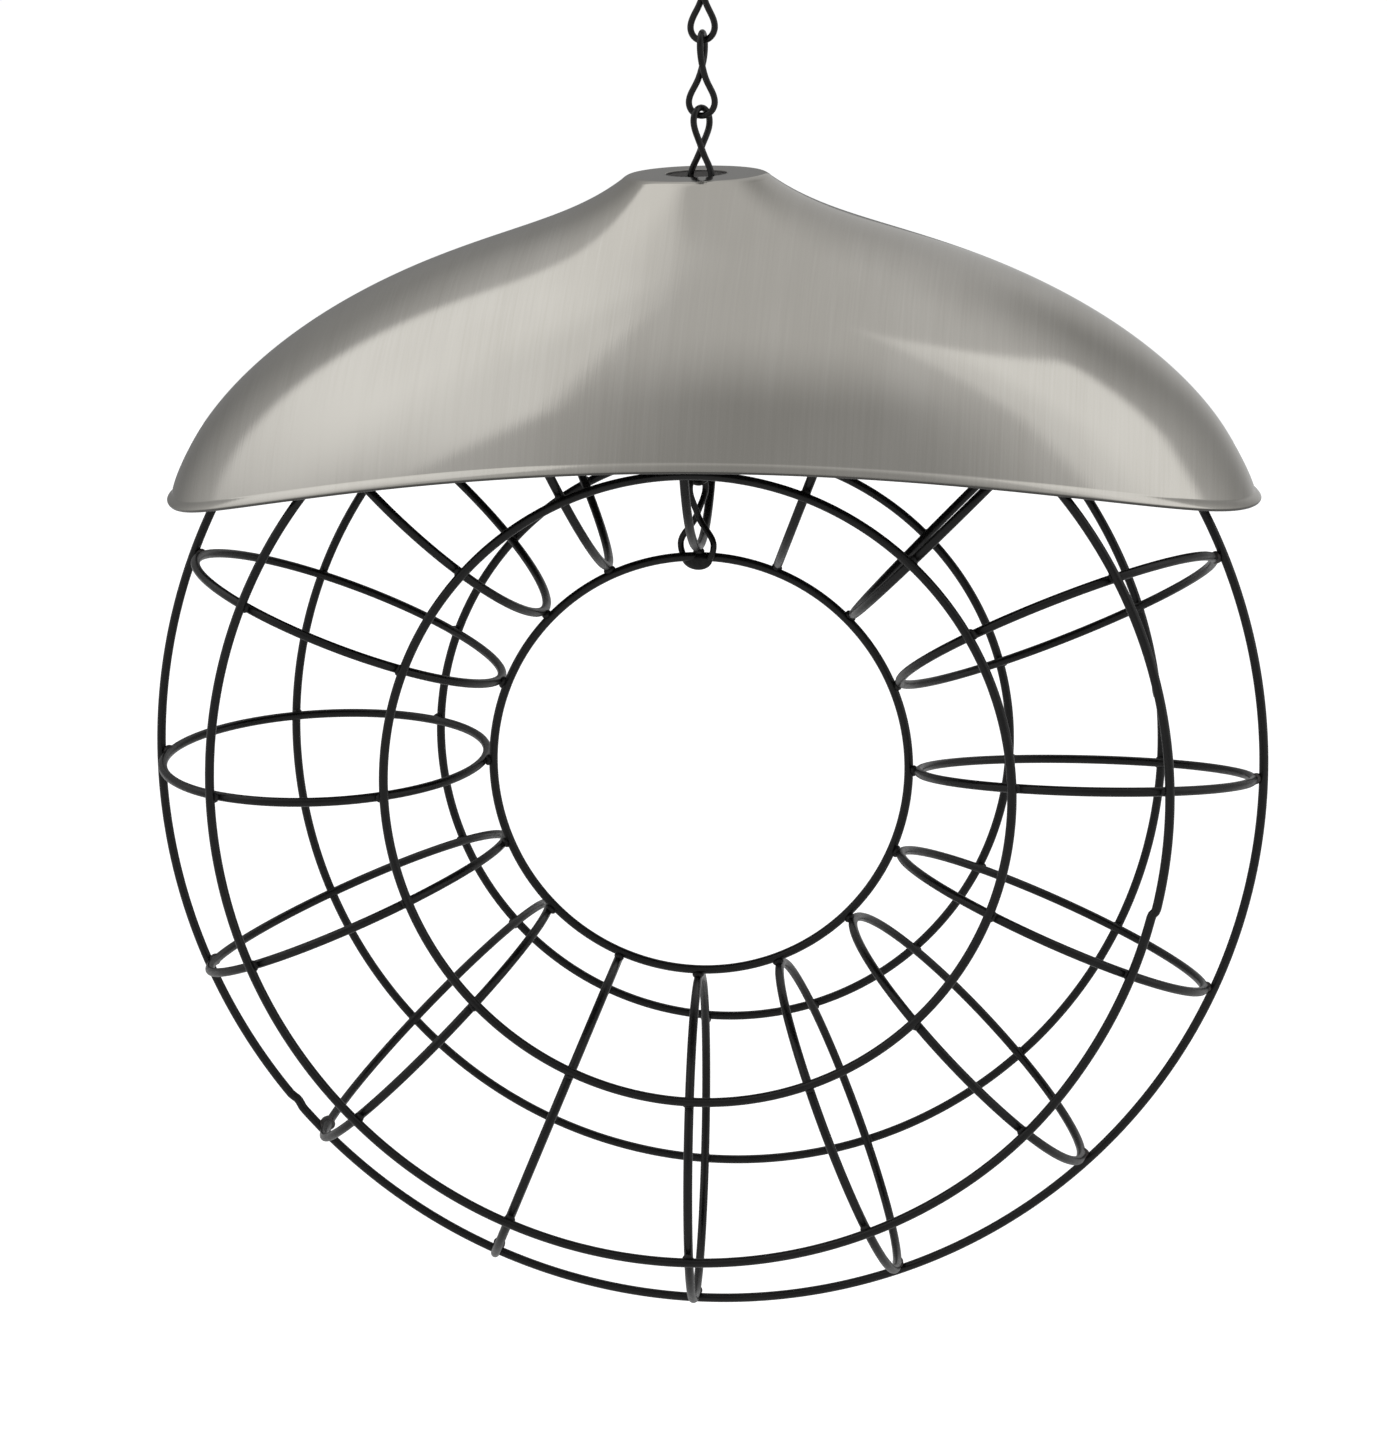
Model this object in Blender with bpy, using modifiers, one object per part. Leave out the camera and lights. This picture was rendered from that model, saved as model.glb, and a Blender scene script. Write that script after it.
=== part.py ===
"""Wreath bird feeder: a ring-shaped cage of welded wire, hung on a chain of figure-eight links,
under an oval pressed-metal roof that slides up the chain to open the filling mouth.

Metres, +Z up. The origin is the point where the hook hangs. The front of the feeder faces -Y.
Heights named below are measured from the wreath's centre, HANG_HEIGHT below the origin.
"""

import math

import bmesh
import bpy
import numpy as np
from mathutils import Euler, Matrix, Vector
from mathutils.bvhtree import BVHTree

MM = 0.001

# Welded wire cage
OUTER_RING_RADIUS = 148.8 * MM
INNER_RING_RADIUS = 56.1 * MM
CAGE_WIRE = 2.4 * MM
HOOP_HALF_DEPTH = 47.0 * MM
HOOP_COUNT = 16
WELD_OVERHANG = 3.0 * MM
MOUTH_HOOP = 4

# Each side ring's angle round the tube, how far it drifts from that, and towards which turn of
# the wreath it drifts to the outside
SIDE_RING_ANGLES = {
    "front_outer_ring": np.radians((64.3, 1.9, -46.0)),
    "rear_outer_ring": np.radians((-63.6, 0.4, -145.0)),
    "front_inner_ring": np.radians((118.1, 5.6, 2.0)),
    "rear_inner_ring": np.radians((-117.7, 1.4, -129.0)),
}

# Each welded hoop's turn past its even place round the wreath, and its lean
HOOP_TURNS = np.radians(
    (0.5, 1.2, 1.0, 2.0, 0.65, 2.8, 1.5, 1.1, 0.35, 1.15, 0.4, 0.75, 0.35, 0.0, 0.75, 0.45)
)
HOOP_LEANS = np.radians(
    (4.6, 12.4, 0.0, -3.5, -2.1, -5.6, -0.7, -0.9, 5.5, 1.1, 4.3, 3.1, 4.5, 4.3, 2.7, 4.9)
)

# Pressed roof
ROOF_HALF_LENGTH = 143.3 * MM
ROOF_HALF_WIDTH = 74.2 * MM
ROOF_END_DROP = 84.0 * MM
ROOF_SIDE_ARCH = 22.0 * MM
ROOF_WALL = 0.6 * MM
PLATEAU_RADIUS = 19.5 * MM
PLATEAU_EDGE_DROP = 1.2 * MM
PLATEAU_EDGE_RUN = 2.5 * MM
PLATEAU_TIP = math.radians(1.56)
CHAIN_HOLE_RADIUS = 8.0 * MM
LIP_RUN = 1.2 * MM
LIP_DROP = 3.0 * MM
END_FLARE_SHARE = 0.114
SIDE_FLARE_SHARE = 0.188
FLARE_POWER = 9.2
END_SHOULDER_POWER = 1.68
SIDE_SHOULDER_POWER = 1.55
SIDE_SHOULDER_SHARE = 0.951

# How the loose roof lies on the cage: tipped to the front, one end low, turned about the chain
ROOF_TIP = math.radians(6.64)
ROOF_ROLL = math.radians(1.25)
ROOF_TURN = math.radians(1.54)
ROOF_SIDE = -0.87 * MM
ROOF_FORWARD = -2.68 * MM
WREATH_SIDE = 1.2 * MM

# Chain of figure-eight links
CHAIN_WIRE = 1.7 * MM
LINK_HALF_LENGTH = 10.5 * MM
LINK_HALF_WIDTH = 3.4 * MM
LINK_PLANE_ANGLE = math.radians(-30.0)
LINK_TWIST = math.radians(90.0)
LINK_TURN_LENGTH = 2.1 * MM
CONNECTOR_LOWER_LENGTH = 13.4 * MM
CONNECTOR_HALF_WIDTH = 5.5 * MM

# Each link's own turn about the chain, from the lowest link up
LINK_TURNS = np.radians((0.0, 0.0, 0.0, 0.0, 0.0, 0.0, 27.0, 14.0, 0.0, 0.0, 0.0, 0.0))

# Hanging hook
HOOK_WIRE = 2.6 * MM
HOOK_EYE_RADIUS = 4.6 * MM
HOOK_CROWN_RADIUS = 12.0 * MM
HOOK_SHANK = 16.0 * MM
HOOK_TIP_REACH = 7.0 * MM
HOOK_EYE_ARC = (60.0, -270.0)
HOOK_CROWN_ARC = (15.0, 180.0)

# Clearance between pieces that touch
SEAT_GAP = 0.3 * MM

# Facets
WIRE_RESOLUTION = 1
HOOP_FACETS_PER_SPAN = 4
RING_FACETS_PER_HOOP = 4
LINK_FACETS = 20
HOOK_FACETS = 14
HOOK_SHANK_FACETS = 6
ROOF_SECTORS = 48
ROOF_ROWS = 9
SEAT_SAMPLES_PER_HOOP = 8
SEAT_SEARCH_STEPS = 20

# Sizes that follow from the ones above
SEAT_OFFSET = CAGE_WIRE + SEAT_GAP
TUBE_CENTRE_RADIUS = (OUTER_RING_RADIUS + INNER_RING_RADIUS) / 2
HOOP_HALF_HEIGHT = (OUTER_RING_RADIUS - INNER_RING_RADIUS) / 2 - SEAT_OFFSET
HOOP_PITCH = 2 * math.pi / HOOP_COUNT
CONNECTOR_BOTTOM = INNER_RING_RADIUS - CAGE_WIRE / 2 - SEAT_GAP - CHAIN_WIRE / 2
CONNECTOR_CROSSING = CONNECTOR_BOTTOM + CONNECTOR_LOWER_LENGTH
LINK_PITCH = 2 * LINK_HALF_LENGTH - CHAIN_WIRE - SEAT_GAP
TOP_LINK_CROSSING = CONNECTOR_CROSSING + (len(LINK_TURNS) - 1) * LINK_PITCH
HOOK_EYE_BOTTOM = TOP_LINK_CROSSING + LINK_HALF_LENGTH - (CHAIN_WIRE + HOOK_WIRE) / 2 - SEAT_GAP
HOOK_EYE_CENTRE = HOOK_EYE_BOTTOM + HOOK_EYE_RADIUS
HOOK_CROWN_CENTRE = HOOK_EYE_CENTRE + HOOK_EYE_RADIUS + HOOK_SHANK
HANG_HEIGHT = HOOK_CROWN_CENTRE + HOOK_CROWN_RADIUS - HOOK_WIRE / 2
ROOF_LIE = (ROOF_TIP, -ROOF_ROLL, ROOF_TURN)


def clear_scene():
    for obj in list(bpy.data.objects):
        bpy.data.objects.remove(obj, do_unlink=True)


def make_material(name, colour, roughness, metallic):
    material = bpy.data.materials.new(name)
    material.use_nodes = True
    shader = material.node_tree.nodes["Principled BSDF"]
    shader.inputs["Base Color"].default_value = (*colour, 1.0)
    shader.inputs["Roughness"].default_value = roughness
    shader.inputs["Metallic"].default_value = metallic
    return material


def wire_curve(name, points, diameter, closed):
    """A round wire of the given diameter along a list of points."""
    curve = bpy.data.curves.new(name, "CURVE")
    curve.dimensions = "3D"
    curve.bevel_depth = diameter / 2
    curve.bevel_resolution = WIRE_RESOLUTION
    curve.use_fill_caps = not closed
    spline = curve.splines.new("POLY")
    spline.points.add(len(points) - 1)
    for target, (x, y, z) in zip(spline.points, points):
        target.co = (x, y, z, 1.0)
    spline.use_cyclic_u = closed
    spline.use_smooth = True
    return curve


def place(name, data, collection, parent, material, location=(0, 0, 0), rotation=(0, 0, 0)):
    obj = bpy.data.objects.new(name, data)
    obj.location = location
    obj.rotation_euler = rotation
    obj.parent = parent
    if not data.materials:
        data.materials.append(material)
    collection.objects.link(obj)
    return obj


def frame_empty(name, collection, parent, location):
    empty = bpy.data.objects.new(name, None)
    empty.location = location
    empty.parent = parent
    collection.objects.link(empty)
    return empty


def seat_on_hoop(angle):
    """Distance from the wreath's axis, and depth, of a ring's centre line that lies on the
    outside of the hoops at this angle round the tube."""
    along_height = HOOP_HALF_DEPTH * math.cos(angle)
    along_depth = HOOP_HALF_HEIGHT * math.sin(angle)
    length = math.hypot(along_height, along_depth)
    radius = TUBE_CENTRE_RADIUS + HOOP_HALF_HEIGHT * math.cos(angle)
    depth = HOOP_HALF_DEPTH * math.sin(angle)
    return radius + SEAT_OFFSET * along_height / length, depth + SEAT_OFFSET * along_depth / length


def ring_point(turn, angle, drift, drift_turn):
    """A point of a ring that lies on every hoop and drifts round the tube as it goes."""
    radius, depth = seat_on_hoop(angle - drift * math.cos(turn - drift_turn))
    return (radius * math.cos(turn), -depth, radius * math.sin(turn))


def hoop_turn(index):
    return index * HOOP_PITCH + HOOP_TURNS[index]


def weld_turns(angle):
    """How far round the wreath each hoop meets the ring at this angle round the tube. The
    list runs once round and on to the first hoop again, as often as the ring needs."""
    radius, depth = seat_on_hoop(angle)
    once = [
        hoop_turn(index) + math.atan(math.tan(lean) * depth / radius)
        for index, lean in enumerate(HOOP_LEANS)
    ]
    return once + [turn + 2 * math.pi for turn in once]


def ring_turns(angle, first_hoop, last_hoop, facets_per_hoop):
    """Turns of a ring's vertices from one hoop's weld to another's."""
    count = facets_per_hoop * (last_hoop - first_hoop)
    steps = np.linspace(first_hoop, last_hoop, count + 1)
    return np.interp(steps, np.arange(2 * HOOP_COUNT), weld_turns(angle))


def make_ring(name, angle, drift, drift_turn, facets_per_hoop, context):
    turns = ring_turns(angle, 0, HOOP_COUNT, facets_per_hoop)[:-1]
    points = [ring_point(turn, angle, drift, drift_turn) for turn in turns]
    place(name, wire_curve(name, points, CAGE_WIRE, True), *context)


def outer_ring_points(facets_per_hoop):
    """The outer ring stops at the hoops on either side of the filling mouth."""
    overhang = WELD_OVERHANG / OUTER_RING_RADIUS
    turns = ring_turns(0.0, MOUTH_HOOP + 1, MOUTH_HOOP - 1 + HOOP_COUNT, facets_per_hoop)
    turns = [turns[0] - overhang, *turns, turns[-1] + overhang]
    return [ring_point(turn, 0.0, 0.0, 0.0) for turn in turns]


def make_outer_ring(facets_per_hoop, context):
    points = outer_ring_points(facets_per_hoop)
    place("outer_ring", wire_curve("outer_ring", points, CAGE_WIRE, False), *context)


def hoop_angles():
    """Angles round the tube, with a vertex where the hoop meets each ring."""
    side_angles = [ring[0] % (2 * math.pi) for ring in SIDE_RING_ANGLES.values()]
    welds = sorted([0.0, math.pi, 2 * math.pi, *side_angles])
    steps = np.arange(HOOP_FACETS_PER_SPAN * (len(welds) - 1)) / HOOP_FACETS_PER_SPAN
    return np.interp(steps, np.arange(len(welds)), welds)


def mouth_hoop_angles():
    """The mouth's hoop ends just past the side rings, and is open between them at the top."""
    overhang = WELD_OVERHANG / HOOP_HALF_DEPTH
    first = SIDE_RING_ANGLES["front_outer_ring"][0]
    last = SIDE_RING_ANGLES["rear_outer_ring"][0] + 2 * math.pi
    angles = hoop_angles()
    between = angles[(angles >= first) & (angles <= last)]
    return [first - overhang, *between, last + overhang]


def hoop_point(angle):
    """In the hoop's own frame: X away from the wreath's centre, Y to the back."""
    return (HOOP_HALF_HEIGHT * math.cos(angle), -HOOP_HALF_DEPTH * math.sin(angle), 0.0)


def seat_wires():
    """Points along the centre lines of the upper half of the cage."""
    points = outer_ring_points(SEAT_SAMPLES_PER_HOOP)
    for name in ("front_outer_ring", "rear_outer_ring"):
        ring = SIDE_RING_ANGLES[name]
        turns = ring_turns(ring[0], 0, HOOP_COUNT, SEAT_SAMPLES_PER_HOOP)
        points += [ring_point(turn, *ring) for turn in turns]
    for index, lean in enumerate(HOOP_LEANS):
        rotation = Euler((-lean, -hoop_turn(index), 0.0)).to_matrix()
        centre = Vector((TUBE_CENTRE_RADIUS, 0.0, 0.0))
        centre.rotate(Euler((0.0, -hoop_turn(index), 0.0)))
        angles = mouth_hoop_angles() if index == MOUTH_HOOP else hoop_angles()
        points += [centre + rotation @ Vector(hoop_point(angle)) for angle in angles]
    return [point for point in points if point[2] > TUBE_CENTRE_RADIUS / 2]


def make_hoops(context):
    """Sixteen hoops on one shared curve, but the mouth's, which is open at the top."""
    closed_points = [hoop_point(angle) for angle in hoop_angles()]
    closed_curve = wire_curve("hoop", closed_points, CAGE_WIRE, True)
    open_points = [hoop_point(angle) for angle in mouth_hoop_angles()]
    open_curve = wire_curve("open_hoop", open_points, CAGE_WIRE, False)
    for index, lean in enumerate(HOOP_LEANS):
        turn = hoop_turn(index)
        centre = (TUBE_CENTRE_RADIUS * math.cos(turn), 0.0, TUBE_CENTRE_RADIUS * math.sin(turn))
        curve = open_curve if index == MOUTH_HOOP else closed_curve
        rotation = (-lean, -turn, 0.0)
        place(f"hoop_{index + 1:02d}", curve, *context, location=centre, rotation=rotation)


def make_cage(context):
    make_hoops(context)
    make_outer_ring(RING_FACETS_PER_HOOP, context)
    make_ring("inner_ring", math.pi, 0.0, 0.0, RING_FACETS_PER_HOOP, context)
    for name, ring in SIDE_RING_ANGLES.items():
        make_ring(name, *ring, RING_FACETS_PER_HOOP, context)


def towards_sides(at_ends, at_sides, turn):
    """A value that changes from the roof's ends to its long sides."""
    return at_ends + (at_sides - at_ends) * np.sin(turn) ** 2


def drop_share(share, turn):
    """Drop of the roof's profile from the plateau's edge (0) to the rim (1): a hollow flare
    close to the plateau, then a round shoulder that ends in a steep skirt. The long sides have
    more of the flare, and their shoulder stops before it is upright."""
    flare_part = towards_sides(END_FLARE_SHARE, SIDE_FLARE_SHARE, turn)
    power = towards_sides(END_SHOULDER_POWER, SIDE_SHOULDER_POWER, turn)
    kept = towards_sides(1.0, SIDE_SHOULDER_SHARE, turn)
    flare = 1 - (1 - share) ** FLARE_POWER
    shoulder = 1 - (1 - (share * kept) ** power) ** (1 / power)
    shoulder /= 1 - (1 - kept**power) ** (1 / power)
    return flare_part * flare + (1 - flare_part) * shoulder


def roof_rows():
    """Rows of points from the chain hole to the lip, in the roof's own frame. The plateau is
    pressed a little out of true, low at the front, and the loft takes that up."""
    turns = np.arange(ROOF_SECTORS) * 2 * math.pi / ROOF_SECTORS
    circle = np.stack([np.cos(turns), np.sin(turns), 0 * turns], axis=1)
    rim_drop = ROOF_END_DROP - ROOF_SIDE_ARCH * np.sin(turns) ** 2
    rim = circle * (ROOF_HALF_LENGTH, ROOF_HALF_WIDTH, 0.0)
    rim[:, 2] = -rim_drop
    up = np.array([0.0, 0.0, 1.0])
    edge_start = PLATEAU_RADIUS - PLATEAU_EDGE_RUN
    tipped = circle + up * circle[:, 1:2] * math.tan(PLATEAU_TIP)
    rows = [tipped * CHAIN_HOLE_RADIUS, tipped * edge_start]
    for share in (1 / 3, 2 / 3):
        radius = edge_start + PLATEAU_EDGE_RUN * share
        rows.append(tipped * radius - up * PLATEAU_EDGE_DROP * share**2)
    for step in range(ROOF_ROWS + 1):
        share = (1 - math.cos(math.pi * step / ROOF_ROWS)) / 2
        plan = circle[:, :2] * PLATEAU_RADIUS * (1 - share) + rim[:, :2] * share
        height = -PLATEAU_EDGE_DROP - (rim_drop - PLATEAU_EDGE_DROP) * drop_share(share, turns)
        row = np.column_stack([plan, height])
        row[:, 2] += circle[:, 1] * PLATEAU_RADIUS * (1 - share) * math.tan(PLATEAU_TIP)
        rows.append(row)
    outward = circle * (ROOF_HALF_WIDTH, ROOF_HALF_LENGTH, 0.0)
    outward /= np.linalg.norm(outward, axis=1, keepdims=True)
    for share in (1 / 2, 1.0):
        rows.append(rim + outward * LIP_RUN * share**2 - up * LIP_DROP * share)
    return rows


def roof_mesh():
    """A loft from the round chain hole and plateau to the oval rim."""
    mesh_data = bmesh.new()
    previous = None
    for row in roof_rows():
        current = [mesh_data.verts.new(tuple(point)) for point in row]
        if previous:
            for i in range(ROOF_SECTORS):
                j = (i + 1) % ROOF_SECTORS
                mesh_data.faces.new((previous[i], current[i], current[j], previous[j]))
        previous = current
    mesh = bpy.data.meshes.new("roof")
    mesh_data.to_mesh(mesh)
    mesh_data.free()
    mesh.shade_smooth()
    return mesh


def seat_clearance(surface, wires, height):
    """Least distance from the wires' centre lines up to the roof's outer surface, with the
    plateau at this height above the wreath's centre."""
    place_on_cage = Matrix.LocRotScale((ROOF_SIDE, ROOF_FORWARD, height), Euler(ROOF_LIE), None)
    into_roof = place_on_cage.inverted()
    least = math.inf
    for x, y, z in wires:
        point = into_roof @ Vector((x + WREATH_SIDE, y, z))
        nearest, normal, _, distance = surface.find_nearest(point)
        least = min(least, distance if (nearest - point).dot(normal) > 0 else -distance)
    return least


def plateau_height(mesh):
    """Height of the plateau that lands the roof on the first wire it meets."""
    surface = BVHTree.FromPolygons(
        [vertex.co for vertex in mesh.vertices], [face.vertices for face in mesh.polygons]
    )
    wires = seat_wires()
    stand_off = CAGE_WIRE / 2 + SEAT_GAP + ROOF_WALL
    low = TUBE_CENTRE_RADIUS
    high = OUTER_RING_RADIUS + ROOF_END_DROP
    for _ in range(SEAT_SEARCH_STEPS):
        middle = (low + high) / 2
        if seat_clearance(surface, wires, middle) < stand_off:
            low = middle
        else:
            high = middle
    return high


def make_roof(collection, parent, material):
    mesh = roof_mesh()
    roof = place("roof", mesh, collection, parent, material)
    roof.location = (ROOF_SIDE, ROOF_FORWARD, plateau_height(mesh))
    roof.rotation_euler = ROOF_LIE
    wall = roof.modifiers.new("wall", "SOLIDIFY")
    wall.thickness = ROOF_WALL
    wall.offset = -1.0
    wall.use_even_offset = True
    roof.data.set_sharp_from_angle(angle=math.radians(60.0))
    return roof


def link_points(lower_length, lower_width):
    """A closed wire of two strands that run side by side, loop at each end and turn past
    each other in the middle, so that the two loops stand square to each other."""
    waist = (CHAIN_WIRE + SEAT_GAP) / 2
    points = []
    for step in range(LINK_FACETS):
        phase = 2 * math.pi * (step + 1 / 2) / LINK_FACETS
        rise = math.cos(phase)
        side = 1.0 if math.sin(phase) > 0 else -1.0
        length, width = (LINK_HALF_LENGTH, LINK_HALF_WIDTH) if rise > 0 else (lower_length, lower_width)
        swell = loop_half_width(abs(rise) * length, length, width, waist)
        blend = (1 + math.tanh(rise * length / LINK_TURN_LENGTH)) / 2
        plane = LINK_PLANE_ANGLE - LINK_TWIST * blend
        points.append((side * swell * math.cos(plane), side * swell * math.sin(plane), rise * length))
    return points


def loop_half_width(height, length, width, waist):
    """Half the distance between a link's strands at a height above its crossing."""
    end = length - width
    if height > end:
        return math.sqrt(max(width**2 - (height - end) ** 2, 0.0))
    ease = (1 - math.cos(math.pi * height / end)) / 2
    return waist + (width - waist) * ease


def make_chain(collection, parent, material):
    connector = link_points(CONNECTOR_LOWER_LENGTH, CONNECTOR_HALF_WIDTH)
    plain = link_points(LINK_HALF_LENGTH, LINK_HALF_WIDTH)
    connector_curve = wire_curve("connector_link", connector, CHAIN_WIRE, True)
    link_curve = wire_curve("chain_link", plain, CHAIN_WIRE, True)
    for index, turn in enumerate(LINK_TURNS):
        location = (0.0, 0.0, CONNECTOR_CROSSING + index * LINK_PITCH)
        rotation = (0.0, 0.0, turn)
        curve = link_curve if index else connector_curve
        place(f"chain_link_{index + 1:02d}", curve, collection, parent, material, location, rotation)


def arc(centre, radius, first, last, count):
    """Points (sideways, up) along part of a circle in the hook's plane, angles in degrees."""
    angles = np.radians(np.linspace(first, last, count))
    return [(centre[0] + radius * math.cos(a), centre[1] + radius * math.sin(a)) for a in angles]


def hook_points():
    """A closed eye at the bottom, a shank that swings out to one side, and an open crown."""
    eye = arc((0.0, HOOK_EYE_CENTRE), HOOK_EYE_RADIUS, *HOOK_EYE_ARC, HOOK_FACETS)
    crown = arc((0.0, HOOK_CROWN_CENTRE), HOOK_CROWN_RADIUS, *HOOK_CROWN_ARC, HOOK_FACETS)
    start = np.array(eye[-1])
    swing = np.array(crown[0]) - start
    shank = []
    for step in range(1, HOOK_SHANK_FACETS):
        share = step / HOOK_SHANK_FACETS
        eased = share * share * (3 - 2 * share)
        shank.append(tuple(start + swing * (eased, share)))
    tip = (crown[-1][0] - HOOK_WIRE / 2, HOOK_CROWN_CENTRE - HOOK_TIP_REACH)
    across = (math.cos(LINK_PLANE_ANGLE), math.sin(LINK_PLANE_ANGLE))
    outline = [*eye, *shank, *crown, tip]
    return [(side * across[0], side * across[1], height) for side, height in outline]


def make_hook(collection, parent, material):
    curve = wire_curve("hanging_hook", hook_points(), HOOK_WIRE, False)
    place("hanging_hook", curve, collection, parent, material)


def main():
    clear_scene()
    collection = bpy.data.collections.new("wreath_bird_feeder")
    bpy.context.scene.collection.children.link(collection)
    cage_paint = make_material("cage_paint", (0.012, 0.012, 0.013), 0.42, 0.0)
    chain_paint = make_material("chain_paint", (0.015, 0.015, 0.016), 0.38, 0.0)
    hook_paint = make_material("hook_paint", (0.015, 0.015, 0.016), 0.38, 0.0)
    roof_metal = make_material("roof_metal", (0.40, 0.385, 0.35), 0.34, 1.0)
    hang_line = frame_empty("hang_line", collection, None, (0.0, 0.0, -HANG_HEIGHT))
    wreath = frame_empty("wreath_centre", collection, hang_line, (WREATH_SIDE, 0.0, 0.0))
    make_cage((collection, wreath, cage_paint))
    make_roof(collection, hang_line, roof_metal)
    make_chain(collection, hang_line, chain_paint)
    make_hook(collection, hang_line, hook_paint)
    seat = bpy.data.objects["roof"].location.z
    print(f"hang height {HANG_HEIGHT / MM:.2f} mm, plateau {seat / MM:.2f} mm")


main()
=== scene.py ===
# %% [markdown]
# # A wreath bird feeder
# A ring-shaped cage of welded black wire holds fat balls. It hangs on a chain of figure-eight
# links, and an oval pressed-metal roof slides up the chain when the cage is filled.
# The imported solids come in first. The new pieces are laid exactly over them, so the feeder can
# still swing and its roof can still lift.

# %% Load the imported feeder
import math

import bpy
import numpy as np
from mathutils import Matrix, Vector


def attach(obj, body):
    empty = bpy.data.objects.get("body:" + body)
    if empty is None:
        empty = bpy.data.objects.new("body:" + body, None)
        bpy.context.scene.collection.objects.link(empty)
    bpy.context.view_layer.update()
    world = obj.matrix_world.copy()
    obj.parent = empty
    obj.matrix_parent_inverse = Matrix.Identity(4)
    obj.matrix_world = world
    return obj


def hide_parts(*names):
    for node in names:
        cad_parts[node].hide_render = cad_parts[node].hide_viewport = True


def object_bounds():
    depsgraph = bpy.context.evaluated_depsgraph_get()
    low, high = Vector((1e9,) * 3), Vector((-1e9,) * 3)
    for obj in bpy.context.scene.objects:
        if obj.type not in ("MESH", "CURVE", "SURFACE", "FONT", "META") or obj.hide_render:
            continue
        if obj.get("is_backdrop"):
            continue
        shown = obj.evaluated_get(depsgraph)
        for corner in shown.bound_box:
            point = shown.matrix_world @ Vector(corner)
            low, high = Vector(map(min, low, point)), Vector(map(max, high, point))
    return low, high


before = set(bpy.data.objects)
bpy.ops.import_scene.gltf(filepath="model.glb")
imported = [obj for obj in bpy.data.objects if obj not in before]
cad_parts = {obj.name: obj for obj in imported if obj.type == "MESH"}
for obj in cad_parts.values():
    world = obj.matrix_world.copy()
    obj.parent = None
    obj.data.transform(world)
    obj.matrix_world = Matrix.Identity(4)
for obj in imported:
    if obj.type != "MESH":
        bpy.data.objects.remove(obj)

solid_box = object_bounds()
MM = 0.001
FULL_TURN = 2 * math.pi
UP = np.array([0.0, 0.0, 1.0])
BEHIND = np.array([0.0, 1.0, 0.0])
HANG_HEIGHT = 320.1 * MM
WREATH_CENTRE = np.array([1.2 * MM, 0.0, -HANG_HEIGHT])


def print_box(title, box):
    """Prints a box's lowest and highest corner, in metres."""
    low, high = ([round(value, 4) for value in corner] for corner in box)
    print(title, "from", low, "to", high)


print_box("solids reach", solid_box)

# %% [markdown]
# ## Camera
# The camera stands a little to the right of the feeder and a little above it, with a slight
# tilt of the head. A Track To constraint could aim it. Here its place is written as angles
# round a target point near the wreath's middle, because angles are easier to correct than
# three coordinates, and the tilt is one of them.

# %% Aim the camera
AZIMUTH, ELEVATION, ROLL = np.radians([7.539, 9.058, 0.603])
CAMERA_DISTANCE = 797.99 * MM
CAMERA_TARGET = np.array([-0.318, 0.0, -310.066]) * MM
LENS = 73.77
NEAREST_SEEN, FURTHEST_SEEN = 0.01, 60.0

camera_data = bpy.data.cameras.new("camera")
camera_data.lens = LENS
camera_data.clip_start = NEAREST_SEEN
camera_data.clip_end = FURTHEST_SEEN
camera = bpy.data.objects.new("camera", camera_data)
bpy.context.scene.collection.objects.link(camera)
bpy.context.scene.camera = camera
back = np.array([
    math.sin(AZIMUTH) * math.cos(ELEVATION),
    -math.cos(AZIMUTH) * math.cos(ELEVATION),
    math.sin(ELEVATION),
])
level = np.cross(-back, UP)
level /= np.linalg.norm(level)
upright = np.cross(level, -back)
sideways = math.cos(ROLL) * level + math.sin(ROLL) * upright
above = -math.sin(ROLL) * level + math.cos(ROLL) * upright
camera_spot = CAMERA_TARGET + CAMERA_DISTANCE * back
placing = np.eye(4)
placing[:3, :] = np.column_stack([sideways, above, back, camera_spot])
camera.matrix_world = Matrix(placing.tolist())
print("camera stands at", camera_spot.round(3))

# %% [markdown]
# ## Studio
# The feeder hangs well above a white floor, in front of a white backdrop. Lamps could light it,
# but a round metal roof shows every lamp as a hard spot. So the world alone gives the light. It
# is white to the camera. To light and to reflections it is a soft grey room with a tall bright
# panel at each side and a paler ceiling, so the roof has something to mirror.

# %% Shader maths as Python
class Value:
    """A socket whose sums are written as Python: each operator adds one Math node."""

    def __init__(self, board, socket):
        self.board = board
        self.socket = socket

    def __add__(self, other):
        return self.board.maths("ADD", self, other)

    def __radd__(self, other):
        return self.board.maths("ADD", other, self)

    def __sub__(self, other):
        return self.board.maths("SUBTRACT", self, other)

    def __rsub__(self, other):
        return self.board.maths("SUBTRACT", other, self)

    def __neg__(self):
        return self.board.maths("SUBTRACT", 0.0, self)

    def __mul__(self, other):
        return self.board.maths("MULTIPLY", self, other)

    def __rmul__(self, other):
        return self.board.maths("MULTIPLY", other, self)


print("a Value can be added, subtracted and multiplied")


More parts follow.
